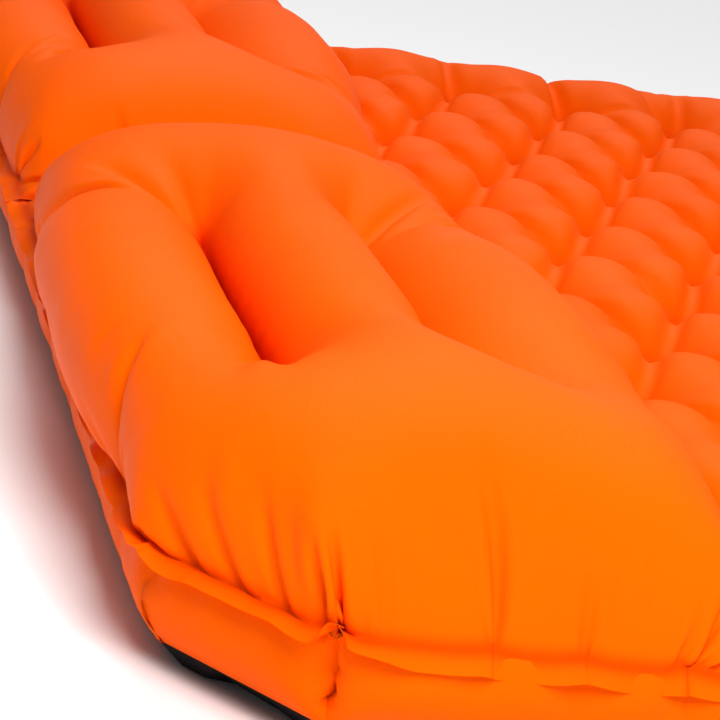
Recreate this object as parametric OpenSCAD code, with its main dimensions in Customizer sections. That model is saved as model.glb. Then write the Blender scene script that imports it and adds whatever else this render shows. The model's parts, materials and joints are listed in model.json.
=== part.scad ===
// Double inflatable sleeping pad with two built-in pillows and a hinged two-stage air valve.
// The head end is at -X and the foot end at +X. The pad lies on the plane Z = 0.
// The origin is under the middle of the pad, on the plane that it lies on.

/* [Pad] */
// Length of the pad, from head end to foot end
pad_l = 2000; // [1800:10:2100]
// Width of the pad, for two people
pad_w = 1300; // [1200:10:1400]
// Height of the air chamber's crests
pad_h = 76; // [70:1:90]
// Height of the weld between the underside and the side wall
base_h = 12; // [8:1:20]
// How far the underside's edge lies inside the side wall
base_inset = 14; // [8:1:20]
// How far the crests at the edge lie inside the side wall
crest_inset = 10; // [6:1:16]
// Cut of a head corner, measured along the pad
chamfer_l = 66; // [40:1:90]
// Cut of a head corner, measured across the pad
chamfer_w = 82; // [40:1:100]
// Radius of a foot corner
foot_r = 70; // [40:1:120]
// Thickness of the sheets' solids
sheet_t = 1; // [0.6:0.1:2]

/* [Pillows] */
// Depth of a pillow, measured along the pad
pillow_d = 250; // [230:1:280]
// Height of the weld between a pillow and the pad
weld_h = 58; // [50:1:64]
// Height of a pillow's end bulges
bulge_h = 156; // [140:1:165]
// Radius of a pillow's tubes
tube_r = 46; // [44:0.5:50]
// Height of the tubes' crests
tube_h = 150; // [135:1:155]
// Length of the tubes between a pillow's end bulges
tube_l = 240; // [160:5:300]
// Width of the flat band between the two pillows
pillow_gap = 16; // [8:1:30]
// Radius of the hole that feeds a pillow from the air chamber
feed_r = 6; // [4:0.5:10]

/* [Valve] */
// Place of the valve's centre along the pad
valve_x = 880; // [700:5:900]
// Place of the valve's centre across the pad
valve_y = -540; // [-560:5:560]
// Radius of the weld flange
flange_r = 38; // [32:1:45]
// Radius of the housing's deflation bore
deflate_r = 17; // [16:0.5:18]
// Radius of the inflation port, which takes a pump's nozzle
port_r = 9; // [8:0.5:9.5]
// Travel of the non-return flap
flap_travel = 2.5; // [1.5:0.1:2.8]

/* [Hidden] */
$fn = 64;

fabric_colour = "darkorange";
base_colour = "black";
plastic_colour = "dimgray";
seal_colour = "silver";

// Gap between two pieces that move past each other, and the fit of a seal in its groove
gap = 0.3;
seal_fit = 0.05;
pin_fit = 0.06;
// Overlap that joins two volumes of one piece, and the reach of a cut past a face
joint = 0.5;

// Pad
tubes = 3;
tube_pitch = pillow_d / tubes;
pillow_w = (pad_w - pillow_gap) / 2;
pillow_centre_y = (pad_w + pillow_gap) / 4;
pillow_centre_x = (pillow_d - pad_l) / 2;
arc_steps = 12;

// Valve: heights above the crest plane
flange_t = 1.2;
housing_r = 24;
neck_r = 20.2;
neck_d = 8;
housing_top = 8;
door_r = 23.2;
door_bottom = housing_top + gap;
door_top = door_bottom + 3.2;
plug_r = deflate_r - 0.6;
plug_bottom = door_bottom - 3;
spider_top = plug_bottom + 1.7;
spider_w = 2.4;
hub_r = 3;
collar_r = 12;
stem_r = 1.4;
flap_r = 11.5;
flap_t = 1;
flap_top = plug_bottom - gap;
retainer_r = 2.6;
retainer_t = 1.4;
retainer_bottom = spider_top + flap_travel + gap;
port_bottom = retainer_bottom + retainer_t + gap;
throat_r = port_r - 0.8;
collar_top = port_bottom + 5;
cap_r = 13;
cap_bottom = collar_top + gap;
cap_top = cap_bottom + 2.2;
cap_plug_r = port_r - 0.6;
cap_plug_bore_r = 6.8;
cap_plug_d = 2.5;
door_seal_r = [18, 21.5];
door_seal_t = 1.4;
cap_seal_r = [9.6, 11.4];
cap_seal_t = 1;

// Hinges: pin radius, knuckle radius, place from the valve's axis, height, half-widths across
door_pin_r = 1.2;
door_knuckle_r = 2.2;
door_hinge_x = 27.8;
door_hinge_z = door_bottom + 1.4;
door_knuckle_y = 5.2;
door_ear_y = [5.5, 8.5];
cap_pin_r = 0.9;
cap_knuckle_r = 1.9;
cap_hinge_x = 14.8;
cap_hinge_z = cap_bottom + 1.1;
cap_knuckle_y = 3;
cap_ear_y = [3.3, 5.3];

// Points of an arc around a centre, from one angle to another
function arc(centre, r, from, to) =
    [for (i = [0:arc_steps]) let (a = from + (to - from) * i / arc_steps)
        [centre[0] + r * cos(a), centre[1] + r * sin(a)]];

// The pad seen from above, moved in by inset: cut head corners and round foot corners
module pad_outline(inset) {
    x = pad_l / 2 - inset;
    y = pad_w / 2 - inset;
    r = foot_r - inset;
    polygon(concat(
        [[-x, -y + chamfer_w], [-x + chamfer_l, -y]],
        arc([x - r, -y + r], r, -90, 0),
        arc([x - r, y - r], r, 0, 90),
        [[-x + chamfer_l, y], [-x, y - chamfer_w]]
    ));
}

// A part of the pad between two heights
module pad_layer(bottom, top, inset) {
    translate([0, 0, bottom])
        linear_extrude(top - bottom)
            pad_outline(inset);
}

// Underside: a tray from the ground to its weld with the side wall
module bottom_sheet() {
    color(base_colour)
        difference() {
            pad_layer(0, base_h, base_inset);
            pad_layer(sheet_t, base_h + 1, base_inset + sheet_t);
        }
}

// Volume under the top sheet, moved in by inset: the low head end and the higher air chamber
module chamber_volume(bottom, inset) {
    chamber_x = pillow_centre_x + pillow_d / 2 + joint + inset;
    pad_layer(bottom, weld_h - inset, inset);
    intersection() {
        pad_layer(weld_h - inset - joint, pad_h - inset, crest_inset + inset);
        translate([chamber_x, -pad_w / 2, 0])
            cube([pad_l, pad_w, pad_h + 1]);
    }
}

// Rim that turns in from the side wall to the underside's weld
module base_rim() {
    difference() {
        pad_layer(base_h, base_h + sheet_t, 0);
        pad_layer(base_h - 1, base_h + sheet_t + 1, base_inset + sheet_t);
    }
}

// Side wall and celled top, with the valve's hole and the holes that feed the pillows
module top_sheet() {
    color(fabric_colour) {
        difference() {
            chamber_volume(base_h, 0);
            chamber_volume(base_h - 1, sheet_t);
            at_valve(-sheet_t - 1)
                cylinder(r = neck_r + seal_fit, h = sheet_t + 2);
            for (side = [-1, 1])
                translate([pillow_centre_x, side * pillow_centre_y, weld_h - sheet_t - 1])
                    cylinder(r = feed_r, h = sheet_t + 2);
        }
        base_rim();
    }
}

// Section of the three tubes, across the pillow's depth
module tube_section() {
    for (i = [0:tubes - 1])
        translate([(i - (tubes - 1) / 2) * tube_pitch, tube_h - tube_r])
            circle(tube_r, $fn = 96);
    translate([-pillow_d / 2, weld_h])
        square([pillow_d, tube_h - tube_r - weld_h]);
}

// Section of an end bulge, across the pillow's depth: one arc over the whole depth
module bulge_section() {
    rise = bulge_h - weld_h;
    arc_r = (pow(pillow_d / 2, 2) + rise * rise) / (2 * rise);
    intersection() {
        translate([0, bulge_h - arc_r])
            circle(arc_r, $fn = 128);
        translate([-pillow_d / 2, weld_h])
            square([pillow_d, rise]);
    }
}

// Section of a whole pillow, across its width: round shoulders over a flat base
module shoulder_section() {
    rise = bulge_h - weld_h;
    half_w = pillow_w / 2 - rise;
    translate([-half_w, weld_h])
        square([2 * half_w, rise]);
    intersection() {
        for (side = [-1, 1])
            translate([side * half_w, weld_h])
                circle(rise, $fn = 96);
        translate([-pillow_w / 2, weld_h])
            square([pillow_w, rise]);
    }
}

// Stands a section up, so that its second axis is Z, and runs it along Y
module along_y(length) {
    rotate([90, 0, 0])
        translate([0, 0, -length / 2])
            linear_extrude(length)
                children();
}

// One pillow: tubes in the middle, a bulge at each end, all inside the pad's outline
module pillow(side) {
    bulge_l = (pillow_w - tube_l) / 2;
    color(fabric_colour)
        intersection() {
            translate([pillow_centre_x, side * pillow_centre_y, gap])
                intersection() {
                    union() {
                        along_y(tube_l + 2 * joint)
                            tube_section();
                        for (end = [-1, 1])
                            translate([0, end * (tube_l + bulge_l) / 2, 0])
                                along_y(bulge_l)
                                    bulge_section();
                    }
                    rotate([0, 0, 90])
                        along_y(pillow_d)
                            shoulder_section();
                }
            pad_layer(weld_h, bulge_h + 1, 0);
        }
}

// The person's right and left, lying on the back with the head at -X
module pillow_right() {
    pillow(-1);
}

module pillow_left() {
    pillow(1);
}

// Places a piece on the valve's axis at a height above the crest plane
module at_valve(height) {
    translate([valve_x, valve_y, pad_h + height])
        children();
}

// Flat ring around the valve's axis between two heights
module ring(outer_r, inner_r, bottom, top) {
    at_valve(bottom)
        difference() {
            cylinder(r = outer_r, h = top - bottom);
            translate([0, 0, -1])
                cylinder(r = inner_r, h = top - bottom + 2);
        }
}

// Round bar along Y, for a pin, a knuckle or a pin's hole
module bar_y(x, height, r, from_y, to_y) {
    at_valve(height)
        translate([x, to_y, 0])
            rotate([90, 0, 0])
                cylinder(r = r, h = to_y - from_y);
}

// Block from a low corner to a high corner, in the valve's own frame
module valve_block(low, high) {
    at_valve(0)
        translate(low)
            cube(high - low);
}

// Soft ring that is welded to the top sheet
module valve_flange() {
    color(plastic_colour)
        ring(flange_r, neck_r + seal_fit, 0, flange_t);
}

// Housing with the deflation bore, and two ears for the door's hinge pin
module valve_housing() {
    ear_inner_x = door_hinge_x - door_knuckle_r;
    color(plastic_colour)
        difference() {
            union() {
                at_valve(flange_t)
                    cylinder(r = housing_r, h = housing_top - flange_t);
                at_valve(-neck_d)
                    cylinder(r = neck_r, h = neck_d + flange_t + joint);
                for (side = [-1, 1]) {
                    low_y = min(side * door_ear_y[0], side * door_ear_y[1]);
                    high_y = max(side * door_ear_y[0], side * door_ear_y[1]);
                    valve_block(
                        [housing_r - 4, low_y, flange_t],
                        [door_hinge_x + door_knuckle_r, high_y, housing_top]
                    );
                    valve_block(
                        [ear_inner_x, low_y, housing_top - joint],
                        [door_hinge_x + door_knuckle_r, high_y, door_hinge_z]
                    );
                    bar_y(door_hinge_x, door_hinge_z, door_knuckle_r, low_y, high_y);
                }
            }
            at_valve(-neck_d - 1)
                cylinder(r = deflate_r, h = neck_d + housing_top + 2);
            bar_y(door_hinge_x, door_hinge_z, door_pin_r, -door_ear_y[1] - 1, door_ear_y[1] + 1);
        }
}

// Pin of the door's hinge, held in the housing's ears
module door_hinge_pin() {
    color(seal_colour)
        bar_y(door_hinge_x, door_hinge_z, door_pin_r, -door_ear_y[1], door_ear_y[1]);
}

// Cross of two bars with a hub, under the inflation port
module spider() {
    reach = throat_r + joint;
    valve_block([-reach, -spider_w / 2, plug_bottom], [reach, spider_w / 2, spider_top]);
    valve_block([-spider_w / 2, -reach, plug_bottom], [spider_w / 2, reach, spider_top]);
    at_valve(plug_bottom)
        cylinder(r = hub_r, h = spider_top - plug_bottom);
}

// Solid shape of the door, before its holes: disc, plug, collar, knuckle and the cap's ears
module door_blank() {
    at_valve(door_bottom)
        cylinder(r = door_r, h = door_top - door_bottom);
    at_valve(plug_bottom)
        cylinder(r = plug_r, h = door_bottom - plug_bottom + joint);
    at_valve(door_top - joint)
        cylinder(r = collar_r, h = collar_top - door_top + joint);
    valve_block([door_r - 4, -door_knuckle_y, door_bottom], [door_hinge_x, door_knuckle_y, door_top]);
    bar_y(door_hinge_x, door_hinge_z, door_knuckle_r, -door_knuckle_y, door_knuckle_y);
    for (side = [-1, 1]) {
        low_y = min(side * cap_ear_y[0], side * cap_ear_y[1]);
        high_y = max(side * cap_ear_y[0], side * cap_ear_y[1]);
        valve_block(
            [-cap_hinge_x - cap_knuckle_r, low_y, door_top - joint],
            [-cap_hinge_x + cap_knuckle_r, high_y, cap_hinge_z]
        );
        bar_y(-cap_hinge_x, cap_hinge_z, cap_knuckle_r, low_y, high_y);
    }
}

// Door over the deflation bore, with the inflation port, the spider and the seal's groove
module deflate_door() {
    color(plastic_colour)
        difference() {
            union() {
                difference() {
                    door_blank();
                    at_valve(plug_bottom - 1)
                        cylinder(r = throat_r, h = collar_top - plug_bottom + 2);
                    at_valve(port_bottom)
                        cylinder(r = port_r, h = collar_top - port_bottom + 1);
                }
                spider();
            }
            at_valve(plug_bottom - 1)
                cylinder(r = stem_r + pin_fit, h = spider_top - plug_bottom + 2);
            ring(
                door_seal_r[1] + seal_fit, door_seal_r[0] - seal_fit,
                door_bottom - 1, door_bottom + door_seal_t + seal_fit
            );
            bar_y(
                door_hinge_x, door_hinge_z, door_pin_r + pin_fit,
                -door_knuckle_y - 1, door_knuckle_y + 1
            );
            bar_y(-cap_hinge_x, cap_hinge_z, cap_pin_r, -cap_ear_y[1] - 1, cap_ear_y[1] + 1);
        }
}

// Seal under the door
module door_gasket() {
    color(seal_colour)
        ring(door_seal_r[1], door_seal_r[0], door_bottom, door_bottom + door_seal_t);
}

// Pin of the cap's hinge, held in the door's ears
module cap_hinge_pin() {
    color(seal_colour)
        bar_y(-cap_hinge_x, cap_hinge_z, cap_pin_r, -cap_ear_y[1], cap_ear_y[1]);
}

// Non-return flap with its stem, which slides in the spider's hub
module flap_valve() {
    color(seal_colour) {
        at_valve(flap_top - flap_t)
            cylinder(r = flap_r, h = flap_t);
        at_valve(flap_top - joint)
            cylinder(r = stem_r, h = retainer_bottom + retainer_t - flap_top + joint);
    }
}

// Button that holds the stem up
module flap_retainer() {
    color(plastic_colour)
        ring(retainer_r, stem_r, retainer_bottom, retainer_bottom + retainer_t);
}

// Cap over the inflation port: disc with a lift tab, plug, seal's groove and knuckle
module inflate_cap() {
    tab_w = 12;
    tab_reach = 4.5;
    arm_x = -cap_hinge_x;
    color(plastic_colour)
        difference() {
            union() {
                at_valve(cap_bottom)
                    cylinder(r = cap_r, h = cap_top - cap_bottom);
                valve_block(
                    [cap_r - 4, -tab_w / 2, cap_bottom],
                    [cap_r + tab_reach, tab_w / 2, cap_top]
                );
                valve_block([arm_x, -cap_knuckle_y, cap_bottom], [arm_x + 4, cap_knuckle_y, cap_top]);
                bar_y(arm_x, cap_hinge_z, cap_knuckle_r, -cap_knuckle_y, cap_knuckle_y);
                ring(cap_plug_r, cap_plug_bore_r, cap_bottom - cap_plug_d, cap_bottom + joint);
            }
            ring(
                cap_seal_r[1] + seal_fit, cap_seal_r[0] - seal_fit,
                cap_bottom - 1, cap_bottom + cap_seal_t + seal_fit
            );
            bar_y(arm_x, cap_hinge_z, cap_pin_r + pin_fit, -cap_knuckle_y - 1, cap_knuckle_y + 1);
        }
}

// Seal under the cap
module cap_gasket() {
    color(seal_colour)
        ring(cap_seal_r[1], cap_seal_r[0], cap_bottom, cap_bottom + cap_seal_t);
}

bottom_sheet();
top_sheet();
pillow_right();
pillow_left();
valve_flange();
valve_housing();
door_hinge_pin();
deflate_door();
door_gasket();
cap_hinge_pin();
flap_valve();
flap_retainer();
inflate_cap();
cap_gasket();
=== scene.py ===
"""Looks of the inflatable sleeping pad, in metres.

Its fabric pieces are cut flat, pinned along their seams and welds, and inflated here as cloth.
The valve's pieces stay as they are in the CAD, and get better materials.
"""

import json
import math

import bpy
import numpy as np
from mathutils import Matrix, Vector, geometry


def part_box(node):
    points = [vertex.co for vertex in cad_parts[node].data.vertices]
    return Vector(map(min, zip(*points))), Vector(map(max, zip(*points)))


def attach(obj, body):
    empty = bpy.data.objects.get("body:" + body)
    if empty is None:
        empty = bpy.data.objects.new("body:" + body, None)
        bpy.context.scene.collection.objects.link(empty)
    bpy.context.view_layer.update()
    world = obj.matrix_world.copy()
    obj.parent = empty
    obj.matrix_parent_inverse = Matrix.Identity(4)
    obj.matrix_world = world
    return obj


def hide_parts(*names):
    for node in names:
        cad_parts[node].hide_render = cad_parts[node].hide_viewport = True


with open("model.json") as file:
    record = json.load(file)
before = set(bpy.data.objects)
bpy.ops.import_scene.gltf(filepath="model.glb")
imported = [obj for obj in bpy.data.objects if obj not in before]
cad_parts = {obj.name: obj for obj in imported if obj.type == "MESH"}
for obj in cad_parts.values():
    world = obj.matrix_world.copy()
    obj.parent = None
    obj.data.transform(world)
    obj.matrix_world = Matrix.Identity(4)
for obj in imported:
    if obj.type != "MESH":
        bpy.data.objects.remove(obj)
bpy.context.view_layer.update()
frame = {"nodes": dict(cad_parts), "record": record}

# ---------------------------------------------------------------- dimensions from the CAD
PAD_LO, PAD_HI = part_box("top_sheet")
PILLOW_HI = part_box("pillow_right")[1]
VALVE_LO, VALVE_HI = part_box("valve_flange")
HEAD_X, FOOT_X = PAD_LO[0], PAD_HI[0]
NEAR_Y, FAR_Y = PAD_LO[1], PAD_HI[1]
PILLOW_X = PILLOW_HI[0]  # where the pillows end on the mattress
GAP_Y = PILLOW_HI[1]  # edge of the right pillow at the gap between the pillows
VALVE = ((VALVE_LO[0] + VALVE_HI[0]) / 2, (VALVE_LO[1] + VALVE_HI[1]) / 2)
VALVE_R = (VALVE_HI[0] - VALVE_LO[0]) / 2
VALVE_Z = VALVE_LO[2]

# ---------------------------------------------------------------- dimensions of the fabric
SEAM_Z = 0.058  # weld of pillow, mattress top and side wall
BASE_Z = 0.012  # weld of side wall and black underside
BASE_INSET = 0.014  # of that weld, from the pad's outline
CHAMFER_X, CHAMFER_Y = 0.066, 0.082  # cut-off head corners
FOOT_R = 0.070  # round foot corners
FLANGE = 0.011  # width of the weld flange where it shows
ON_LINE = 1e-4  # a point this near to a line lies on it
SAME_PLACE = 1e-7  # two places this near are one


# ---------------------------------------------------------------- flat outlines
INSIDE_ONLY = 1  # delaunay_2d_cdt's number for triangles inside the outer loop


def along(points, step, closed):
    """Points every step along a line, its corners kept."""
    ends = np.roll(points, -1, axis=0) if closed else points[1:]
    starts = points if closed else points[:-1]
    parts = []
    for a, b in zip(starts, ends):
        count = max(1, round(float(np.linalg.norm(b - a)) / step))
        parts.append(a + (b - a) * np.linspace(0, 1, count, endpoint=False)[:, None])
    if not closed:
        parts.append(points[-1:])
    return np.vstack(parts)


def circle(centre, radius, count):
    """Points round a circle."""
    turn = np.arange(count) * 2 * math.pi / count
    return np.array(centre) + radius * np.column_stack([np.cos(turn), np.sin(turn)])


def segment_distance(a, b, points):
    """Distance of each point from the segment a-b, and its fraction along it."""
    t = np.clip((points - a) @ (b - a) / ((b - a) @ (b - a)), 0, 1)
    return np.linalg.norm(points - a - t[:, None] * (b - a), axis=1), t


def outline_distance(outline, points):
    """Distance of each point from a closed outline."""
    pairs = zip(outline, np.roll(outline, -1, axis=0))
    return np.min([segment_distance(a, b, points)[0] for a, b in pairs], axis=0)


def nearest_side(outline, points):
    """For each point: the number of the nearest side, its distance and its fraction along it."""
    found = [segment_distance(a, b, points) for a, b in zip(outline, np.roll(outline, -1, axis=0))]
    distance = np.array([f[0] for f in found])
    side = distance.argmin(axis=0)
    row = np.arange(len(points))
    return side, distance[side, row], np.array([f[1] for f in found])[side, row]


def inside(outline, points):
    """True for the points inside a closed outline."""
    x, y = points.T
    odd = np.zeros(len(points), bool)
    for (ax, ay), (bx, by) in zip(outline, np.roll(outline, -1, axis=0)):
        crosses = (ay > y) != (by > y)
        rise = by - ay if by != ay else 1.0
        odd ^= crosses & (x < ax + (y - ay) / rise * (bx - ax))
    return odd


def offset(outline, widths):
    """A convex outline, counter-clockwise, with each side moved out by its own width."""
    sides = []
    for a, b, width in zip(outline, np.roll(outline, -1, axis=0), widths):
        way = (b - a) / np.linalg.norm(b - a)
        sides.append((a + width * np.array([way[1], -way[0]]), way))
    corners = []
    for (p, u), (q, v) in zip(sides[-1:] + sides[:-1], sides):
        t = np.linalg.solve(np.column_stack([u, -v]), q - p)
        corners.append(p + t[0] * u)
    return np.array(corners)


def lattice(lo, hi, step, seed):
    """Points of a triangular lattice, a little out of line so that folds fall at random."""
    rows = np.arange(lo[1], hi[1] + step, step * math.sqrt(3) / 2)
    cols = np.arange(lo[0], hi[0] + step, step)
    x = cols[None, :] + np.where(np.arange(len(rows)) % 2, step / 2, 0)[:, None]
    points = np.column_stack([x.ravel(), np.repeat(rows, len(cols))])
    return points + np.random.default_rng(seed).normal(0, 0.05 * step, points.shape)


def triangulate(loops, lines, points, outer):
    """Faces between closed loops, open lines and loose points, inside loop number outer."""
    verts, edges = [], []
    for number, line in enumerate(loops + lines):
        first, count = len(verts), len(line)
        sides = count if number < len(loops) else count - 1
        edges += [(first + i, first + (i + 1) % count) for i in range(sides)]
        verts += line.tolist()
    start = sum(len(loop) for loop in loops[:outer])
    border = [list(range(start, start + len(loops[outer])))]
    verts = [Vector(v) for v in verts + points.tolist()]
    made = geometry.delaunay_2d_cdt(verts, edges, border, INSIDE_ONLY, SAME_PLACE)
    flat = np.array([tuple(v) for v in made[0]])
    faces = np.array(made[2])
    a, b, c = flat[faces[:, 0]], flat[faces[:, 1]], flat[faces[:, 2]]
    turn = (b - a)[:, 0] * (c - a)[:, 1] - (b - a)[:, 1] * (c - a)[:, 0]
    faces[turn < 0] = faces[turn < 0][:, ::-1]
    return flat, faces


# ---------------------------------------------------------------- cloth
KEPT_SPEED = 0.985  # part of its speed that a point keeps in one step
FACES_AT_A_POINT = 6  # in a triangular lattice


def face_sides(faces):
    """The points of the sides: the first side of every face, then the second, then the third."""
    return np.sort(np.vstack([faces[:, [0, 1]], faces[:, [1, 2]], faces[:, [2, 0]]]), axis=1)


def mesh_edges(faces):
    """The edges, and for each of the 3 sides of every face the number of its edge."""
    edges, which = np.unique(face_sides(faces), axis=0, return_inverse=True)
    return edges, which.ravel()


def bend_pairs(faces, pinned):
    """The two outer points of each pair of faces that share an edge, unless a weld holds it."""
    sides = face_sides(faces)
    tips = np.concatenate([faces[:, 2], faces[:, 0], faces[:, 1]])
    order = np.lexsort((sides[:, 1], sides[:, 0]))
    sides, tips = sides[order], tips[order]
    shared = np.all(sides[1:] == sides[:-1], axis=1) & ~np.all(pinned[sides[1:]], axis=1)
    return np.column_stack([tips[:-1][shared], tips[1:][shared]])


def split_faces(faces, *fields):
    """Each face cut into four; a field has one row for each point."""
    edges, which = mesh_edges(faces)
    n, m = len(fields[0]), len(faces)
    a, b, c = faces.T
    ab, bc, ca = n + which[:m], n + which[m : 2 * m], n + which[2 * m :]
    quarters = ((a, ab, ca), (ab, b, bc), (ca, bc, c), (ab, bc, ca))
    finer = np.vstack([np.column_stack(q) for q in quarters])
    return finer, [np.concatenate([f, (f[edges[:, 0]] + f[edges[:, 1]]) / 2]) for f in fields]


def face_normals(xyz, faces):
    """The x, y and z of each face's normal, which is as long as twice the face's area."""
    i, j, k = faces.T
    u, v = [c[j] - c[i] for c in xyz], [c[k] - c[i] for c in xyz]
    return [u[a] * v[b] - u[b] * v[a] for a, b in ((1, 2), (2, 0), (0, 1))]


class Springs:
    """Pairs of points that keep their distance."""

    def __init__(self, pairs, rest, free):
        self.i, self.j = pairs[:, 0].copy(), pairs[:, 1].copy()
        self.length, self.count = rest, len(free)
        total = np.maximum(free[self.i] + free[self.j], 1e-9)
        self.share_i, self.share_j = free[self.i] / total, free[self.j] / total
        uses = np.bincount(self.i, minlength=self.count) + np.bincount(self.j, minlength=self.count)
        self.uses = np.maximum(uses, 1.0)

    def pull(self, xyz, strength, crush=1.0):
        """Moves the points towards their distance; crush is how much of a squeeze is undone."""
        gap = [c[self.j] - c[self.i] for c in xyz]
        length = np.sqrt(gap[0] ** 2 + gap[1] ** 2 + gap[2] ** 2) + 1e-12
        miss = (length - self.length) / length
        miss *= np.where(miss < 0, strength * crush, strength)
        move_i, move_j = miss * self.share_i, miss * self.share_j
        for c, d in zip(xyz, gap):
            step = np.bincount(self.i, d * move_i, minlength=self.count)
            step -= np.bincount(self.j, d * move_j, minlength=self.count)
            c += step / self.uses


def inflate(points, faces, rest, pinned, airy, steps, push, planes=None, crush=0.3, bend=0.15):
    """The cloth after its steps under air pressure.

    rest gives the cut length of any pairs of points, pinned points don't move, and airy is the
    part of the pressure that each point feels. push is the first and the last step's pressure, as
    metres for each step. planes holds, for each point, a place and a direction: the point stays on
    that side of it. crush and bend are how strongly the cloth undoes a squeeze and a fold.
    """
    free = np.where(pinned, 0.0, 1.0)
    edges, pairs = mesh_edges(faces)[0], bend_pairs(faces, pinned)
    threads, folds = Springs(edges, rest(edges), free), Springs(pairs, rest(pairs), free)
    xyz = [points[:, k].copy() for k in range(3)]
    before = [c.copy() for c in xyz]
    areas = np.sqrt(sum(c * c for c in face_normals(xyz, faces)))
    size = FACES_AT_A_POINT * np.median(areas)
    for step in range(steps):
        pressure = push[0] + (push[1] - push[0]) * step / steps
        for c, old, normal in zip(xyz, before, face_normals(xyz, faces)):
            load = sum(np.bincount(corner, normal, minlength=len(points)) for corner in faces.T)
            speed = (c - old) * KEPT_SPEED
            old[:] = c
            c += (speed + load * airy * (pressure / size)) * free
        folds.pull(xyz, bend)
        threads.pull(xyz, 1.0, crush)
        if planes is not None:
            places, ways = planes
            below = sum((c - p) * w for c, p, w in zip(xyz, places.T, ways.T))
            back = np.minimum(below, 0) * free
            for c, w in zip(xyz, ways.T):
                c -= back * w
    made = np.column_stack(xyz)
    made[pinned] = points[pinned]
    return made


def same_plane(place, way, count):
    """One limiting plane for all the points."""
    return np.tile(place, (count, 1)), np.tile(way, (count, 1))


# ---------------------------------------------------------------- pinched seams
class Seam:
    """One straight side of a seam: where its cloth is gathered into pinches.

    flat_a-flat_b is the side as it was cut, and a-b the side as it lies on the pad. Each pinch is
    (fraction along the side, its part of the spare cloth, depth inwards).
    """

    NOTCH = 0.008  # half the width of a pinch
    RISE = 0.4  # how far a pinch lifts the seam, as a part of its depth
    SHARE = 0.85  # of the spare cloth goes into the pinches
    DRAWN_IN = 0.92  # part of the cloth that the middle of a pinch takes up
    LEAST = 0.05  # part of the cloth that every place keeps
    SAMPLES = 600

    def __init__(self, flat_a, flat_b, a, b, pinches):
        self.flat_a, self.flat_b = flat_a, flat_b
        self.a, self.b, self.pinches = a, b, pinches
        self.length = float(np.linalg.norm(b - a))
        self.way = (b - a) / self.length
        self.out = np.array([self.way[1], -self.way[0]])
        cut = float(np.linalg.norm(flat_b - flat_a))
        at = np.linspace(0, cut, self.SAMPLES)
        rate = np.maximum(self.rate(at, cut), self.LEAST)
        travelled = np.concatenate([[0], np.cumsum((rate[1:] + rate[:-1]) / 2)])
        self.table = at / cut, travelled / travelled[-1]

    def rate(self, at, cut):
        """How far the laid seam gets for each metre of cloth, at places along the cut side."""
        rate = np.ones_like(at)
        spare = max(cut - self.length, 0.0) * self.SHARE
        parts = sum(part for _, part, _ in self.pinches)
        done = 0.0
        for where, part, _ in self.pinches:
            eaten = max(spare * part / parts, 1e-6)
            centre = where * (cut - spare) + done + eaten / 2
            reach = (at - centre) * self.DRAWN_IN * math.sqrt(math.pi) / eaten
            rate -= self.DRAWN_IN * np.exp(-(reach**2))
            done += eaten
        return rate

    def place(self, fraction, depth=1.0):
        """Where points at fractions of the cut side lie; depth scales the pinches."""
        t = np.interp(fraction, *self.table)
        xy = self.a + t[:, None] * (self.b - self.a)
        z = np.full(len(t), SEAM_Z)
        for where, _, inwards in self.pinches:
            bump = depth * inwards * np.exp(-(((t - where) * self.length / self.NOTCH) ** 2))
            xy = xy - self.out * bump[:, None]
            z = z + self.RISE * bump
        return np.column_stack([xy, z])


# ---------------------------------------------------------------- pillow
PILLOW_STEP = 0.011  # cloth mesh before it is split twice
FINE_BORDER = 0.05  # width of the finer mesh along the seam
CUT_DEPTH, CUT_WIDTH = 0.415, 0.690  # of the flat pillow panel, at its middle
TUBE_WELDS = (0.343, 0.633)  # the welds between the tubes, along the panel's depth
TUBE_X = (HEAD_X + 0.0725, HEAD_X + 0.155)  # where the two welds are held
TUBE_LENGTH = 0.235  # of a weld, as it is held
TUBE_CUT = 0.238  # of a weld, as it was cut
TUBE_Z = 0.098  # height of a weld's ends
TUBE_SAG = 0.004  # of a weld's middle
TUBE_FULL = 1.24  # extra depth of cloth in the tubes, gathered at their ends
TUBE_REACH = 0.120  # from the pillow's middle to where the extra depth ends
TUBE_SHADE_WIDTH = 0.010  # width of the painted shade along a tube weld, where the cloth creases
SEAM_SHADE_WIDTH = 0.004  # the same along the pillow's seam
SEAM_SHADE = 0.6  # how strong the painted shade is there, against a tube weld
DOME_HEIGHT, DOME_BORDER, DOME_SIZE = 0.09, 0.08, 0.97  # of the pillow before it is inflated
GAP_HALF = 0.0006  # each pillow keeps this far from the middle of the pad
WAVE, WAVE_LENGTH = 0.16, 0.0113  # the flange's droop waves: radians, and metres for each radian
RIPPLE, RIPPLE_LENGTH = 0.10, 0.0067
HIDDEN_FLANGE = 0.003  # width of the flange where it doesn't show
SMOOTH_EDGE = 0.3  # depth of the pinches at the flange's outer edge

# each stage is its steps, and its first and last pressure; the mesh is split between two stages
PILLOW_STAGES = ((1500, (2e-5, 4e-6)), (700, (6e-6, 3e-6)), (350, (1.0e-6, 0.7e-6)))

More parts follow.
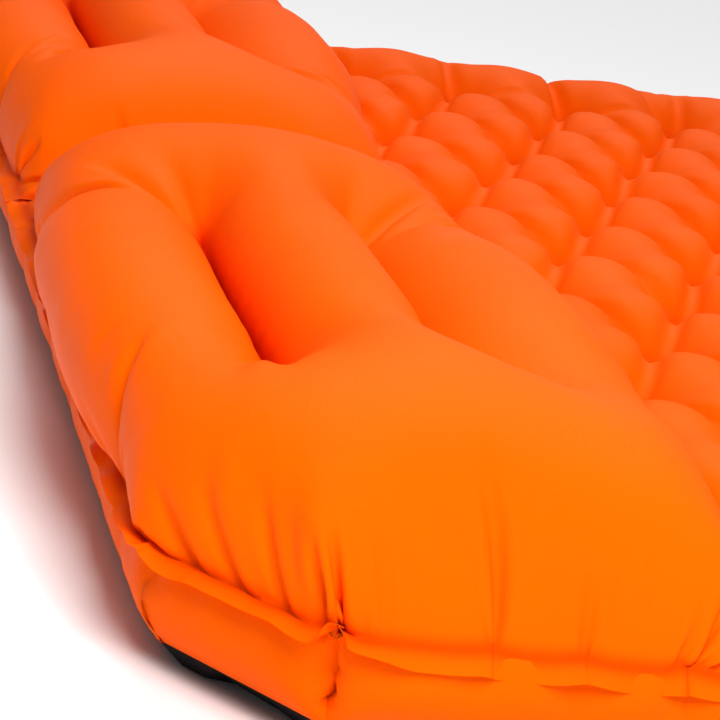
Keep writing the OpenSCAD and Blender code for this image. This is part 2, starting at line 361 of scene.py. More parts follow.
# the sides of the pillow, from the cut-off corner round past the near side: the pinches, the
# width of the flange, and how far the flange droops, as (fraction of the side, degrees)
LEVEL = [(0.0, 0), (1.0, 0)]
SIDES = [
    dict(
        pinches=[(0.0, 3, 0.006), (0.25, 1, 0.0015), (0.5, 1, 0.0015)]
        + [(0.75, 1, 0.0015), (1.0, 7, 0.008)],
        flange=FLANGE,
        droops=[(0.0, 0), (0.2, 22), (0.6, 18), (0.88, 5), (1.0, -45)],
    ),
    dict(
        pinches=[(0.0, 7, 0.008), (0.37, 2, 0.002), (0.60, 1, 0.002), (0.86, 5, 0.004)],
        flange=FLANGE,
        droops=[(0.0, -45), (0.12, 10), (0.25, 60), (0.37, 44), (0.47, 72)]
        + [(0.60, 48), (0.72, 70), (0.86, 50), (1.0, 70)],
    ),
    dict(
        pinches=[(0.3, 1, 0.005), (0.8, 1, 0.005)],
        flange=HIDDEN_FLANGE,
        droops=LEVEL,
    ),
    dict(
        pinches=[(0.2, 1, 0.005), (0.5, 1, 0.005), (0.8, 1, 0.005)],
        flange=HIDDEN_FLANGE,
        droops=LEVEL,
    ),
    dict(
        pinches=[(0.3, 1, 0.005), (0.7, 1, 0.005)],
        flange=HIDDEN_FLANGE,
        droops=LEVEL,
    ),
    dict(
        pinches=[(0.3, 1, 0.005), (0.7, 1, 0.005)],
        flange=HIDDEN_FLANGE,
        droops=LEVEL,
    ),
    dict(
        pinches=[(0.25, 1, 0.004), (0.65, 1, 0.004)],
        flange=FLANGE,
        droops=[(0.0, 30), (0.5, 45), (1.0, 30)],
    ),
    dict(
        pinches=[(0.06, 2, 0.006), (0.42, 3, 0.008)],
        flange=FLANGE,
        droops=[(0.0, 20), (0.2, 45), (0.42, 15), (0.7, 50), (1.0, 40)],
    ),
    dict(
        pinches=[(0.5, 1, 0.003)],
        flange=FLANGE,
        droops=[(0.0, 40), (0.6, 30), (1.0, 0)],
    ),
]


def pillow_corners():
    """Corners of the right pillow: as cut, in the panel's own frame, and as they lie."""
    wide, deep = CUT_WIDTH, CUT_DEPTH
    cut = [
        (0.024, 0.100),
        (0.108, 0.0),
        (deep - 0.050, 0.0),
        (deep, 0.150),
        (deep, wide - 0.220),
        (deep - 0.060, wide),
        (0.060, wide),
        (0.0, wide - 0.220),
        (0.0, 0.240),
    ]
    x0, y0 = HEAD_X, NEAR_Y
    laid = [
        (x0, y0 + CHAMFER_Y),
        (x0 + CHAMFER_X, y0),
        (PILLOW_X, y0),
        (PILLOW_X + 0.010, y0 + 0.130),
        (PILLOW_X, GAP_Y - 0.195),
        (PILLOW_X, GAP_Y),
        (x0, GAP_Y),
        (x0, GAP_Y - 0.180),
        (x0, y0 + 0.205),
    ]
    return np.array(cut), np.array(laid)


def pillow_outlines():
    """Outlines of the right and the left pillow on the pad."""
    right = pillow_corners()[1]
    return right, right[::-1] * (1, -1)


def pillow_seams():
    """The seam along each side of the right pillow."""
    cut, laid = pillow_corners()
    pinches = [side["pinches"] for side in SIDES]
    ends = zip(cut, np.roll(cut, -1, axis=0), laid, np.roll(laid, -1, axis=0), pinches)
    return [Seam(*side) for side in ends]


def pillow_welds():
    """The two welds between the tubes, as cut."""
    middle = CUT_WIDTH / 2
    ends = np.array([middle - TUBE_CUT / 2, middle + TUBE_CUT / 2])
    return [np.column_stack([[CUT_DEPTH * share] * 2, ends]) for share in TUBE_WELDS]


def pillow_cloth():
    """The flat panel of a pillow, with its flange; the mesh is finer near the seam."""
    cut, _ = pillow_corners()
    step = PILLOW_STEP
    flanges = [side["flange"] for side in SIDES]
    edge, half = offset(cut, flanges), offset(cut, [width / 2 for width in flanges])
    welds = pillow_welds()
    fine = lattice((0, 0), (CUT_DEPTH, CUT_WIDTH), step * 0.85, seed=3)
    coarse = lattice((0, 0), (CUT_DEPTH, CUT_WIDTH), step * 1.2, seed=4)
    fine = fine[outline_distance(cut, fine) < FINE_BORDER]
    coarse = coarse[outline_distance(cut, coarse) >= FINE_BORDER + 0.3 * step]
    loose = np.vstack([fine, coarse])
    keep = inside(cut, loose) & (outline_distance(cut, loose) > 0.5 * step)
    for a, b in welds:
        keep &= segment_distance(a, b, loose)[0] > 0.6 * step
    loops = [along(line, step * 0.7, True) for line in (cut, half, edge)]
    lines = [along(line, step, False) for line in welds]
    return triangulate(loops, lines, loose[keep], outer=2)


def lay_flange(seams, cut, flat):
    """The flange stands out from the seam, droops and waves a little."""
    nearest, distance, fraction = nearest_side(cut, flat)
    placed = np.zeros((len(flat), 3))
    for number, (seam, side) in enumerate(zip(seams, SIDES)):
        on = nearest == number
        along_side = fraction[on] * seam.length
        droop = np.radians(np.interp(fraction[on], *zip(*side["droops"])))
        waves = WAVE * np.sin(along_side / WAVE_LENGTH + number)
        droop += waves + RIPPLE * np.sin(along_side / RIPPLE_LENGTH)
        foot = seam.flat_a + fraction[on][:, None] * (seam.flat_b - seam.flat_a)
        past_end = (flat[on] - foot) @ seam.way
        edge = seam.place(fraction[on])
        smoother = seam.place(fraction[on], SMOOTH_EDGE)
        share = (distance[on] / side["flange"])[:, None]
        reach = distance[on]
        placed[on] = edge + (smoother - edge) * np.clip(share, 0, 1)
        placed[on, :2] += (reach * np.cos(droop))[:, None] * seam.out + past_end[:, None] * seam.way
        placed[on, 2] -= reach * np.sin(droop)
    return placed


def hold_pillow(points, flat, seams, cut):
    """Puts seam and weld points where they are held; gives which are pinned, and which airy."""
    _, distance, _ = nearest_side(cut, flat)
    panel = inside(cut, flat) & (distance > ON_LINE)
    points[~panel] = lay_flange(seams, cut, flat[~panel])
    pinned = ~panel
    middle = (NEAR_Y + GAP_Y) / 2
    for (a, b), x in zip(pillow_welds(), TUBE_X):
        gap, t = segment_distance(a, b, flat)
        on = gap < ON_LINE
        y = middle + (t[on] - 0.5) * TUBE_LENGTH
        z = TUBE_Z - TUBE_SAG * np.sin(np.pi * t[on])
        points[on] = np.column_stack([np.full(on.sum(), x), y, z])
        pinned |= on
    return pinned, panel.astype(float)


def pillow_start(flat, cut, laid):
    """A low dome over the seam."""
    scale = (laid.max(axis=0) - laid.min(axis=0)) / (cut.max(axis=0) - cut.min(axis=0))
    xy = laid.min(axis=0) + (flat - cut.min(axis=0)) * scale
    centre = laid.mean(axis=0)
    xy = centre + (xy - centre) * DOME_SIZE
    depth = np.where(inside(laid, xy), outline_distance(laid, xy), 0)
    rise = np.sqrt(np.clip(1 - (1 - np.clip(depth / DOME_BORDER, 0, 1)) ** 2, 0, 1))
    return np.column_stack([xy, SEAM_Z + DOME_HEIGHT * rise])


def pillow_rest(flat):
    """The cut length of pairs of points; in the tubes the cloth is deeper than the flat panel."""

    def rest(pairs):
        i, j = pairs.T
        tube = np.exp(-(((flat[i, 1] - CUT_WIDTH / 2) / TUBE_REACH) ** 4))
        gap = flat[i] - flat[j]
        return np.hypot(gap[:, 0] * (1 + (TUBE_FULL - 1) * tube), gap[:, 1])

    return rest


def make_pillow():
    """The inflated right pillow: its points, faces and flat points."""
    cut, laid = pillow_corners()
    flat, faces = pillow_cloth()
    seams = pillow_seams()
    points = pillow_start(flat, cut, laid)
    for number, (steps, push) in enumerate(PILLOW_STAGES):
        if number:
            faces, (flat, points) = split_faces(faces, flat, points)
        pinned, airy = hold_pillow(points, flat, seams, cut)
        planes = same_plane((0.0, -GAP_HALF, 0.0), (0.0, -1.0, 0.0), len(flat))
        rest = pillow_rest(flat)
        points = inflate(points, faces, rest, pinned, airy, steps, push, planes, crush=0.08)
    return points, faces, flat


# ---------------------------------------------------------------- welds of the mattress
DOT_PITCH = 0.100  # along a row of weld dots
ROW_PITCH = 0.1007
ROW_Y = -0.046  # of row 0
ROWS = range(-6, 7)
DOTS_IN_A_ROW = 18
FIRST_DOT = 0.079  # from the pillows, in the even rows
DOT_FROM_EDGE, DOT_FROM_VALVE = 0.055, 0.035  # where no dot is
DOT_R = 0.006
DOT_SIDES = 8
DOT_TOP_Z, DOT_BOTTOM_Z = 0.036, 0.034
DOT_SHADE_WIDTH = 0.016  # width of the painted shade at a weld dot, where the cloth dips


def pad_outline(inset=0.0, arc=6):
    """Outline of the pad in plan, counter-clockwise from the near cut-off corner."""
    corners = [
        (HEAD_X, NEAR_Y + CHAMFER_Y),
        (HEAD_X + CHAMFER_X, NEAR_Y),
    ]
    for y, first in ((NEAR_Y + FOOT_R, -90), (FAR_Y - FOOT_R, 0)):
        for step in range(arc + 1):
            turn = math.radians(first + 90 * step / arc)
            corners.append((FOOT_X - FOOT_R + FOOT_R * math.cos(turn), y + FOOT_R * math.sin(turn)))
    corners += [(HEAD_X + CHAMFER_X, FAR_Y), (HEAD_X, FAR_Y - CHAMFER_Y)]
    outline = np.array(corners)
    return offset(outline, [-inset] * len(outline))


def weld_dots():
    """Centres of the round welds: staggered rows along the pad, clear of edge and valve."""
    outline = pad_outline()
    dots = []
    for row in ROWS:
        y = ROW_Y + row * ROW_PITCH
        first = PILLOW_X + FIRST_DOT - (0.5 * DOT_PITCH if row % 2 else 0)
        for column in range(DOTS_IN_A_ROW):
            dots.append((first + column * DOT_PITCH, y))
    dots = np.array(dots)
    keep = inside(outline, dots) & (outline_distance(outline, dots) > DOT_FROM_EDGE)
    keep &= valve_distance(dots) > VALVE_R + DOT_FROM_VALVE
    return dots[keep]


def nearest_dot(dots, points):
    """Distance of each point from the nearest dot."""
    best = np.full(len(points), np.inf)
    for dot in dots:
        best = np.minimum(best, np.hypot(*(points - dot).T))
    return best


def valve_distance(points):
    """Distance of each point from the valve's middle."""
    return np.hypot(*(points - VALVE).T)


# ---------------------------------------------------------------- mattress top and side wall
WALL = 0.048  # cut width of the side wall
MATTRESS_STEP = 0.0122  # cloth mesh before it is split
SPARSE_STEP = 0.04  # the same under the pillows, where it is flat
DENSE_TO, SPARSE_FROM = 0.02, 0.03  # how far under a pillow the dense mesh ends and the sparse starts
SLACK = (1.22, 1.03)  # cut size of the mattress cloth against its size on the pad, in X and Y
EDGE_SLACK = 1.04  # the same for the side wall and the mattress next to it
EDGE_WIDTH = 0.085
CREASE_DEPTH = 0.010  # of the fold down the side wall at the cut-off corner
CREASE_END = 0.98  # how far down the side wall it reaches
CREASE_SLACK, CREASE_WIDTH = 0.15, 0.014  # extra slack of the cloth at that fold
VALVE_PATCH = VALVE_R + 0.006  # radius of the flat cloth round the valve
VALVE_HOLE = 0.021  # radius of the hole in it
UNDER_RING = 0.0002  # from the valve's ring down to the cloth
UNDER_PILLOW = 0.002  # from the pillow's seam down to the cloth under it
UNDER_SEAM = 0.0008  # the same along the rim
SEAM_COVER = 0.004  # how far the flat cloth under a pillow reaches past its seam
GAP_COVER = 0.012  # and from the middle of the pad
HUMP_HEIGHT, HUMP_BORDER = 0.012, 0.04  # of the mattress before it is inflated
MATTRESS_STAGES = ((1200, (6e-5, 1.5e-5)), (450, (1.8e-5, 9e-6)))


def fold_wall(plan):
    """Where plan points start, and how far outside the pad's outline they are.

    The points outside the outline are the side wall: they fold down and inwards.
    """
    outline = pad_outline()
    side, distance, fraction = nearest_side(outline, plan)
    ends = np.roll(outline, -1, axis=0)
    rim = outline[side] + fraction[:, None] * (ends[side] - outline[side])
    out = np.where(inside(outline, plan), 0, distance)
    way = (plan - rim) / np.maximum(out, 1e-9)[:, None]
    share = np.clip(out / WALL, 0, 1)
    wall = rim - way * (BASE_INSET * share)[:, None]
    xy = np.where((out > SAME_PLACE)[:, None], wall, plan)
    return np.column_stack([xy, SEAM_Z - (SEAM_Z - BASE_Z) * share]), out


def wall_creases():
    """In the plan, the lines of the folds down the side wall at the cut-off corners."""
    outline = pad_outline()
    near = np.array([outline[1], offset(outline, [WALL] * len(outline))[1]])
    near[1] = near[0] + (near[1] - near[0]) * CREASE_END
    return [near, near * (1, -1)]


def crease_distance(plan):
    """Distance from the nearest crease and the fraction down it."""
    found = [segment_distance(a, b, plan) for a, b in wall_creases()]
    near = found[0][0] < found[1][0]
    return np.where(near, found[0][0], found[1][0]), np.where(near, found[0][1], found[1][1])


def deep_under_pillows(points, depth):
    """True for the points under a pillow, more than depth inside its outline."""
    under = np.zeros(len(points), bool)
    for pillow in pillow_outlines():
        under |= inside(pillow, points) & (outline_distance(pillow, points) > depth)
    return under


def mattress_points(outer, dots):
    """The loose points of the mattress cloth, clear of all its lines; few under the pillows."""
    outline = pad_outline()
    step = MATTRESS_STEP
    lo, hi = outline.min(axis=0) - WALL, outline.max(axis=0) + WALL
    dense = lattice(lo, hi, step, seed=7)
    sparse = lattice(lo, hi, SPARSE_STEP, seed=8)
    dense = dense[~deep_under_pillows(dense, DENSE_TO)]
    sparse = sparse[deep_under_pillows(sparse, SPARSE_FROM)]
    loose = np.vstack([dense, sparse])
    keep = inside(outer, loose)
    keep &= outline_distance(outer, loose) > 0.5 * step
    keep &= outline_distance(outline, loose) > 0.5 * step
    keep &= nearest_dot(dots, loose) > DOT_R + 0.5 * step
    keep &= valve_distance(loose) > VALVE_PATCH + 0.5 * step
    keep &= crease_distance(loose)[0] > 0.4 * step
    for pillow in pillow_outlines():
        keep &= outline_distance(pillow, loose) > 0.4 * step
    return loose[keep]


def mattress_cloth(dots):
    """The plan of the mattress top and its side wall, with the faces between its points."""
    outline = pad_outline()
    step = MATTRESS_STEP
    outer = offset(outline, [WALL] * len(outline))
    loops = [along(outer, step, True), along(outline, step * 0.6, True)]
    loops += [circle(dot, DOT_R, DOT_SIDES) for dot in dots]
    loops += [circle(VALVE, VALVE_PATCH, count=28), circle(VALVE, VALVE_HOLE, count=16)]
    behind_pillow = pillow_corners()[1][2:7]
    right = along(behind_pillow, step, False)[1:-1]
    lines = [right, right * (1, -1)]
    lines += [along(line, step * 0.5, False) for line in wall_creases()]
    loose = np.vstack([mattress_points(outer, dots), dots])
    flat, faces = triangulate(loops, lines, loose, outer=0)
    in_hole = valve_distance(flat[faces].mean(axis=1)) < VALVE_HOLE
    return flat, faces[~in_hole]


def under_pillows(plan):
    """True for the points under a pillow or its seam, and in the gap between the pillows."""
    under = (np.abs(plan[:, 1]) < GAP_COVER) & (plan[:, 0] < PILLOW_X)
    for pillow in pillow_outlines():
        under |= inside(pillow, plan) | (outline_distance(pillow, plan) < SEAM_COVER)
    return under


def lay_rim(plan, points):
    """Along the pillows, the rim of the mattress lies just under the pillows' pinched seam."""
    for seam in pillow_seams():
        for mirror in (1, -1):
            gap, t = segment_distance(seam.a, seam.b, plan * (1, mirror))
            on = gap < 2 * ON_LINE
            back = np.interp(t[on], seam.table[1], seam.table[0])
            points[on] = seam.place(back) * (1, mirror, 1) - (0, 0, UNDER_SEAM)
    return points


def hold_mattress(plan, points, dots):
    """Puts welded, covered and folded points where they are held; gives which are pinned."""
    _, out = fold_wall(plan)
    covered = under_pillows(plan) & (out < SAME_PLACE)
    on_dot = nearest_dot(dots, plan) < DOT_R + ON_LINE
    on_valve = valve_distance(plan) < VALVE_PATCH + ON_LINE
    at_base = out > WALL - ON_LINE
    on_rim = (outline_distance(pad_outline(), plan) < ON_LINE) & (plan[:, 0] < PILLOW_X + ON_LINE)
    from_crease, down = crease_distance(plan)
    on_crease = (from_crease < ON_LINE) & ~on_rim & ~at_base
    heights = (covered, SEAM_Z - UNDER_PILLOW), (on_dot, DOT_TOP_Z), (on_valve, VALVE_Z - UNDER_RING)
    for held, z in heights:
        points[held] = np.column_stack([plan[held], np.full(held.sum(), z)])
    points[at_base] = fold_wall(plan[at_base])[0]
    points[on_rim] = lay_rim(plan[on_rim], points[on_rim])
    inwards = np.column_stack([np.ones(len(plan)), -np.sign(plan[:, 1])])
    inwards = inwards / math.sqrt(2) * (CREASE_DEPTH * (1 - 0.5 * down))[:, None]
    points[on_crease] = fold_wall(plan[on_crease])[0]
    points[on_crease, :2] += inwards[on_crease]
    return covered | on_dot | on_valve | at_base | on_rim | on_crease


def mattress_rest(plan, base):
    """The cut length of pairs of points: their distance in base, with the cloth's slack there."""
    _, out = fold_wall(plan)
    to_edge = np.where(out > 0, 0, outline_distance(pad_outline(), plan))
    fold = CREASE_SLACK * np.exp(-((crease_distance(plan)[0] / CREASE_WIDTH) ** 2))
    ways = [np.interp(to_edge, (0.0, EDGE_WIDTH), (EDGE_SLACK, s)) + fold for s in (*SLACK, 1.0)]
    slack = np.column_stack(ways)

    def rest(pairs):
        i, j = pairs.T
        return np.linalg.norm((base[i] - base[j]) * (slack[i] + slack[j]) / 2, axis=1)

    return rest


def make_mattress(dots):
    """The inflated mattress top with its side wall: its points, faces and plan."""
    plan, faces = mattress_cloth(dots)
    outline = pad_outline()
    points, _ = fold_wall(plan)
    base = points.copy()
    to_edge = outline_distance(outline, plan)
    hump = np.where(inside(outline, plan), np.clip(to_edge / HUMP_BORDER, 0, 1), 0) * HUMP_HEIGHT
    points[:, 2] += hump
    stages = MATTRESS_STAGES
    for number, (steps, push) in enumerate(stages):
        if number:
            faces, (plan, base, points) = split_faces(faces, plan, base, points)
        pinned = hold_mattress(plan, points, dots)
        airy = np.ones(len(plan))
        rest = mattress_rest(plan, base)
        points = inflate(points, faces, rest, pinned, airy, steps, push, crush=0.1)
    return points, faces, plan


# ---------------------------------------------------------------- underside
UNDERSIDE_STEP = 0.0145
UNDERSIDE_SLACK = 1.08
UNDERSIDE_DROP, UNDERSIDE_BORDER = 0.008, 0.03  # of the sheet before it is inflated
UNDERSIDE_STEPS, UNDERSIDE_PUSH = 900, (2e-5, 5e-6)
GROUND_Z = 0.0004  # the lowest place of the sheet


def make_underside(dots):
    """The inflated black sheet, resting on the ground: its points, faces and plan."""
    outline = pad_outline(BASE_INSET)
    step = UNDERSIDE_STEP
    loose = lattice(outline.min(axis=0), outline.max(axis=0), step, seed=9)
    keep = inside(outline, loose) & (outline_distance(outline, loose) > 0.5 * step)
    keep &= nearest_dot(dots, loose) > DOT_R + 0.5 * step
    loops = [along(outline, step, True)] + [circle(dot, DOT_R, DOT_SIDES) for dot in dots]
    plan, faces = triangulate(loops, [], np.vstack([loose[keep], dots]), outer=0)
    faces = faces[:, ::-1]
    inner = np.clip(outline_distance(outline, plan) / UNDERSIDE_BORDER, 0, 1)
    points = np.column_stack([plan, BASE_Z - UNDERSIDE_DROP * inner])
    flat = points.copy()
    flat[:, 2] = 0
    on_dot = nearest_dot(dots, plan) < DOT_R + ON_LINE
    on_rim = outline_distance(outline, plan) < ON_LINE
    points[on_dot, 2] = DOT_BOTTOM_Z
    points[on_rim, 2] = BASE_Z

    def rest(pairs):
        return np.linalg.norm(flat[pairs[:, 0]] - flat[pairs[:, 1]], axis=1) * UNDERSIDE_SLACK

    ground = same_plane((0.0, 0.0, GROUND_Z), (0.0, 0.0, 1.0), len(plan))
    pinned, airy = on_dot | on_rim, np.ones(len(plan))
    steps, push = UNDERSIDE_STEPS, UNDERSIDE_PUSH
    return inflate(points, faces, rest, pinned, airy, steps, push, ground), faces, plan


# ---------------------------------------------------------------- materials
FACTOR, COLOR_A, COLOR_B, MIXED_COLOR = 0, 6, 7, 2  # a Mix node's numbers for its sockets


class Nodes:
    """A new node material: the shader and short ways to add nodes."""

    def __init__(self, name, color, roughness, **sockets):
        self.material = bpy.data.materials.new(name)
        self.material.use_nodes = True
        self.tree = self.material.node_tree
        self.shader = self.tree.nodes["Principled BSDF"]
        self.color = (*color, 1)
        self.shader.inputs["Base Color"].default_value = self.color
        self.shader.inputs["Roughness"].default_value = roughness
        for key, value in sockets.items():
            self.socket(key).default_value = value

    def socket(self, key):
        """The shader's input for a key such as specular_ior_level."""
        return self.shader.inputs[key.replace("_", " ").title().replace("Ior", "IOR")]

    def add(self, kind, inputs=(), **settings):
        """A new node; an input is a value or another node's output."""
        node = self.tree.nodes.new(kind)
        for key, value in settings.items():
            setattr(node, key, value)
        for key, value in dict(inputs).items():
            if isinstance(value, bpy.types.NodeSocket):
                self.tree.links.new(value, node.inputs[key])
            else:
                node.inputs[key].default_value = value
        return node

    def calc(self, operation, a, b=0.0):
        """The result of an operation on one or two values."""
        return self.add("ShaderNodeMath", {0: a, 1: b}, operation=operation).outputs[0]

    def place(self):
        """Coordinates of the piece itself, in metres."""
        return self.add("ShaderNodeTexCoord").outputs["Object"]

    def noise(self, where, scale, detail=2.0):
        """Cloudy values round 0.5."""
        inputs = {"Vector": where, "Scale": scale, "Detail": detail}
        return self.add("ShaderNodeTexNoise", inputs).outputs["Fac"]

    def spread(self, value, low, high):
        """Maps the usual range of a noise to low..high."""
        inputs = {"Value": value, "From Min": 0.3, "From Max": 0.7, "To Min": low, "To Max": high}
        return self.add("ShaderNodeMapRange", inputs).outputs["Result"]

    def stretch(self, where, scale):
        """Coordinates with each direction scaled by its own factor."""
        inputs = {"Vector": where, "Scale": scale}
        return self.add("ShaderNodeMapping", inputs).outputs["Vector"]

    def blend(self, share, a, b):
        """Colour a, or colour b where share is 1."""
        inputs = {FACTOR: share, COLOR_A: a, COLOR_B: b}
        return self.add("ShaderNodeMix", inputs, data_type="RGBA").outputs[MIXED_COLOR]

    def bump(self, height, distance, normal=None):
        """A normal tilted by a height map, on top of another one if it is given."""
        inputs = {"Height": height, "Distance": distance, "Strength": 1.0}
        if normal is not None:
            inputs["Normal"] = normal
        return self.add("ShaderNodeBump", inputs).outputs["Normal"]

    def join(self, **sockets):
        """Links outputs to the shader's inputs; gives the finished material."""
        for key, output in sockets.items():
            self.tree.links.new(output, self.socket(key))
        return self.material


def weave(nodes, cloth, pitch):
    """Height of a plain weave, 0 to 1, from the cut cloth's own coordinates."""
    axes = nodes.add("ShaderNodeSeparateXYZ", {"Vector": cloth}).outputs
    turns = 2 * math.pi / pitch
    waves = [nodes.calc("SINE", nodes.calc("MULTIPLY", axes[k], turns)) for k in (0, 1)]
    product = nodes.calc("MULTIPLY", *waves)
    return nodes.calc("ADD", nodes.calc("MULTIPLY", product, 0.5), 0.5)


def coated_fabric(name, color, deep, weld_shade, roughness, pitch):
    """Thin woven nylon with a satin coating.

    deep is its colour in random cloudy and grainy patches, and as painted shade in the weave's low
    places.
    The third colour is painted shade, laid on the welds where the cloth dips into creases and
    dimples.
    """
    nodes = Nodes(name, color, roughness, specular_ior_level=0.02, specular_tint=(1.0, 0.5, 0.12, 1))
    cloth = nodes.add("ShaderNodeUVMap", uv_map="cloth").outputs["UV"]
    threads = weave(nodes, cloth, pitch)
    crinkle = nodes.noise(nodes.stretch(cloth, (1.0, 0.35, 1.0)), scale=260.0, detail=3.0)
    cloud = nodes.noise(nodes.place(), scale=7.0, detail=3.0)
    grain = nodes.noise(cloth, scale=2400.0, detail=1.0)
    tone_and_weave_shade = nodes.calc("ADD", nodes.spread(cloud, 0.0, 0.35), nodes.spread(grain, 0.0, 0.25))
    # painted shade: the weave's low places lean towards deep
    tone_and_weave_shade = nodes.calc("ADD", tone_and_weave_shade, nodes.calc("MULTIPLY", threads, -0.12))
    shade = nodes.blend(tone_and_weave_shade, nodes.color, (*deep, 1))
    # painted shade on the welds, where the cloth dips into creases and dimples
    weld = nodes.add("ShaderNodeAttribute", attribute_name="weld").outputs["Fac"]
    shade = nodes.blend(weld, shade, (*weld_shade, 1))
    gloss = nodes.spread(cloud, roughness - 0.05, roughness + 0.06)
    normal = nodes.bump(threads, distance=pitch * 0.10)
    normal = nodes.bump(crinkle, distance=0.00025, normal=normal)
    return nodes.join(base_color=shade, roughness=gloss, normal=normal)


def moulded_plastic(name, color, roughness):
    """Moulded plastic with a fine spark-eroded skin and rubbed patches."""
    nodes = Nodes(name, color, roughness, specular_ior_level=0.45)
    place = nodes.place()
    skin = nodes.noise(place, scale=3500.0)
    rubbed = nodes.noise(place, scale=160.0, detail=4.0)
    lighter = tuple(min(1.0, c * 1.7 + 0.006) for c in color)
    shade = nodes.blend(nodes.spread(rubbed, 0.0, 0.6), nodes.color, (*lighter, 1))
    gloss = nodes.spread(rubbed, roughness - 0.08, roughness + 0.08)
    return nodes.join(base_color=shade, roughness=gloss, normal=nodes.bump(skin, distance=0.00006))


def soft_rubber(name, color, roughness, through=0.0):
    """Silicone or seal rubber: a dull skin with a trace of dust; through lets light into it."""
    nodes = Nodes(name, color, roughness, subsurface_weight=through, subsurface_scale=0.002)
    dust = nodes.noise(nodes.place(), scale=700.0, detail=3.0)
    dusty = tuple(c * 0.8 + 0.03 for c in color)
    shade = nodes.blend(nodes.spread(dust, 0.0, 0.7), nodes.color, (*dusty, 1))
    return nodes.join(base_color=shade, normal=nodes.bump(dust, distance=0.00003))


def drawn_steel(name, color, dark, roughness):
    """Steel pin with fine lines from drawing, along Y; dark is their colour."""
    nodes = Nodes(name, color, roughness, metallic=1.0)
    lines = nodes.noise(nodes.stretch(nodes.place(), (1.0, 0.04, 1.0)), scale=9000.0)
    shade = nodes.blend(nodes.spread(lines, 0.0, 1.0), nodes.color, (*dark, 1))
    gloss = nodes.spread(lines, roughness - 0.08, roughness + 0.1)
    return nodes.join(base_color=shade, roughness=gloss, normal=nodes.bump(lines, distance=0.00002))


def floor_paper():
    """The studio's pale paper floor."""
    nodes = Nodes("floor_paper", (0.93, 0.93, 0.93), 0.9)
    fibres = nodes.noise(nodes.place(), scale=900.0)
    return nodes.join(normal=nodes.bump(fibres, distance=0.00003))


ORANGE = coated_fabric(
    "orange_fabric",
    color=(0.97, 0.112, 0.0004),
    deep=(0.90, 0.086, 0.0003),
    # painted shade of the welds' creases and dimples, a dark red
    weld_shade=(0.62, 0.018, 0.0002),
    roughness=0.42,
    pitch=0.0009,
)
BLACK = coated_fabric(
    "black_fabric",
    color=(0.014, 0.014, 0.015),
    deep=(0.006, 0.006, 0.007),
    # painted shade at the underside's weld dots
    weld_shade=(0.004, 0.004, 0.004),
    roughness=0.55,
    pitch=0.0011,
)
VALVE_MATERIALS = {
    "valve_plastic": moulded_plastic("valve_plastic", (0.03, 0.03, 0.032), 0.42),
    "weld_ring": moulded_plastic("weld_ring", (0.045, 0.045, 0.05), 0.34),
    "silicone": soft_rubber("silicone", (0.55, 0.56, 0.57), 0.45, through=0.3),
    "seal_rubber": soft_rubber("seal_rubber", (0.02, 0.02, 0.02), 0.6),
    "pin_steel": drawn_steel("pin_steel", (0.6, 0.6, 0.6), (0.42, 0.42, 0.43), 0.32),
}


# ---------------------------------------------------------------- pieces
def near_weld(distance, width):
    """1 on a weld, and 0 a few widths away from it."""
    return np.exp(-((distance / width) ** 2))


def pillow_weld(flat):
    """Painted shade on a pillow: how near each point is to the two welds between its tubes, or to its
    seam.
    """
    tubes = np.min([segment_distance(a, b, flat)[0] for a, b in pillow_welds()], axis=0)
    seam = outline_distance(pillow_corners()[0], flat)
    shade = SEAM_SHADE * near_weld(seam, SEAM_SHADE_WIDTH)
    return np.maximum(near_weld(tubes, TUBE_SHADE_WIDTH), shade)


def add_piece(name, points, faces, flat, weld, material, node):
    """A mesh piece that rides on the pad and stands for its CAD node; weld, 1 at its welds, is
    painted shade.
    """
    mesh = bpy.data.meshes.new(name)
    mesh.from_pydata(points.tolist(), [], faces.tolist())
    mesh.update()
    mesh.polygons.foreach_set("use_smooth", np.ones(len(mesh.polygons), bool))
    layer = mesh.uv_layers.new(name="cloth")
    corners = np.zeros(len(mesh.loops), int)
    mesh.loops.foreach_get("vertex_index", corners)
    layer.data.foreach_set("uv", flat[corners].astype(np.float32).ravel())
    # the painted shade at the welds goes to the material as a point attribute
    mesh.attributes.new("weld", "FLOAT", "POINT").data.foreach_set("value", weld.astype(np.float32))
    mesh.materials.append(material)
    piece = bpy.data.objects.new(name, mesh)
    bpy.context.scene.collection.objects.link(piece)
    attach(piece, "pad")
    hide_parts(node)


def add_pillows():
    """The right pillow, and the left one as its mirror image."""
    points, faces, flat = make_pillow()
    # painted shade along the tube welds and the seam, where the cloth creases
    weld = pillow_weld(flat)
    add_piece("pillow_panel_right", points, faces, flat, weld, ORANGE, "pillow_right")
    points, faces = points * (1, -1, 1), faces[:, ::-1]
    add_piece("pillow_panel_left", points, faces, flat, weld, ORANGE, "pillow_left")


def add_mattress():
    """The mattress top with its side wall, and the underside; weld dots join the two."""
    dots = weld_dots()
    points, faces, plan = make_mattress(dots)
    # painted shade round the weld dots, where the cloth dips into dimples
    weld = near_weld(nearest_dot(dots, plan), DOT_SHADE_WIDTH)
    add_piece("mattress_top", points, faces, plan, weld, ORANGE, "top_sheet")
    points, faces, plan = make_underside(dots)
    # painted shade round the weld dots of the underside
    weld = near_weld(nearest_dot(dots, plan), DOT_SHADE_WIDTH)
    add_piece("underside", points, faces, plan, weld, BLACK, "bottom_sheet")


def dress_valve():
    """Gives the valve's CAD pieces their materials."""
    for part in frame["record"]["subparts"]:
        if part["material_slot"] in VALVE_MATERIALS:
            node = frame["nodes"][part["node"]]
            node.data.materials.clear()
            node.data.materials.append(VALVE_MATERIALS[part["material_slot"]])


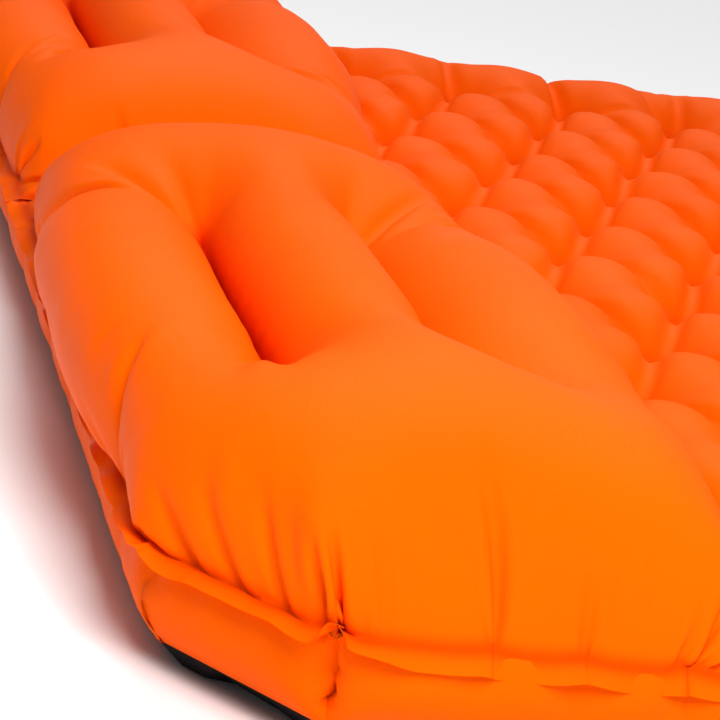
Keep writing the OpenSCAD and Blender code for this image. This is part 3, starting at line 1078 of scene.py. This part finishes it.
# ---------------------------------------------------------------- camera, light and floor
def add_camera():
    """At the photograph's place, found by fitting weld dimples, tube welds and seam corners."""
    yaw, pitch, roll = -0.2724, 0.2830, 0.2037
    level = math.cos(pitch)
    forward = Vector((-math.sin(yaw) * level, math.cos(yaw) * level, -math.sin(pitch)))
    right = forward.cross(Vector((0, 0, 1))).normalized()
    up = right.cross(forward)
    tilt_right = math.cos(roll) * right + math.sin(roll) * up
    tilt_up = -math.sin(roll) * right + math.cos(roll) * up
    data = bpy.data.cameras.new("camera")
    data.sensor_width = 36
    data.lens = 139.1
    data.clip_start = 0.01
    camera = bpy.data.objects.new("camera", data)
    place = Matrix((tilt_right, tilt_up, -forward)).transposed().to_4x4()
    place.translation = (-1.235, -1.681, 0.490)
    camera.matrix_world = place
    bpy.context.scene.collection.objects.link(camera)
    bpy.context.scene.camera = camera


def add_light(name, kind, place, target, power):
    """A lamp of its own kind at a place, turned towards a target; returns its data."""
    data = bpy.data.lights.new(name, kind)
    data.energy = power
    lamp = bpy.data.objects.new(name, data)
    lamp.location = place
    lamp.rotation_euler = (Vector(target) - Vector(place)).to_track_quat("-Z", "Y").to_euler()
    bpy.context.scene.collection.objects.link(lamp)
    return data


def add_lights():
    """A soft lamp over the near head corner, and a wide sun that lights the floor evenly."""
    key = add_light("key", "AREA", place=(-0.9, -1.55, 1.35), target=(-0.95, -0.45, 0.1), power=34)
    key.size = 0.8
    sun = add_light("ceiling", "SUN", place=(0.3, 2.0, 2.5), target=(-0.2, 0.2, 0.0), power=2.3)
    sun.angle = math.radians(50)


def add_floor():
    """A square of paper under the pad, wide enough for every view."""
    half = 40.0
    corners = [(-half, -half, 0), (half, -half, 0), (half, half, 0), (-half, half, 0)]
    mesh = bpy.data.meshes.new("floor")
    mesh.from_pydata(corners, [], [(0, 1, 2, 3)])
    mesh.materials.append(floor_paper())
    floor = bpy.data.objects.new("floor", mesh)
    bpy.context.scene.collection.objects.link(floor)


def add_world():
    """A faint white light from all sides."""
    world = bpy.data.worlds.new("studio")
    world.use_nodes = True
    world.node_tree.nodes["Background"].inputs["Color"].default_value = (1, 1, 1, 1)
    world.node_tree.nodes["Background"].inputs["Strength"].default_value = 0.2
    bpy.context.scene.world = world


dress_valve()
add_pillows()
add_mattress()
bpy.context.scene.view_settings.view_transform = "Standard"
add_camera()
add_lights()
add_floor()
add_world()
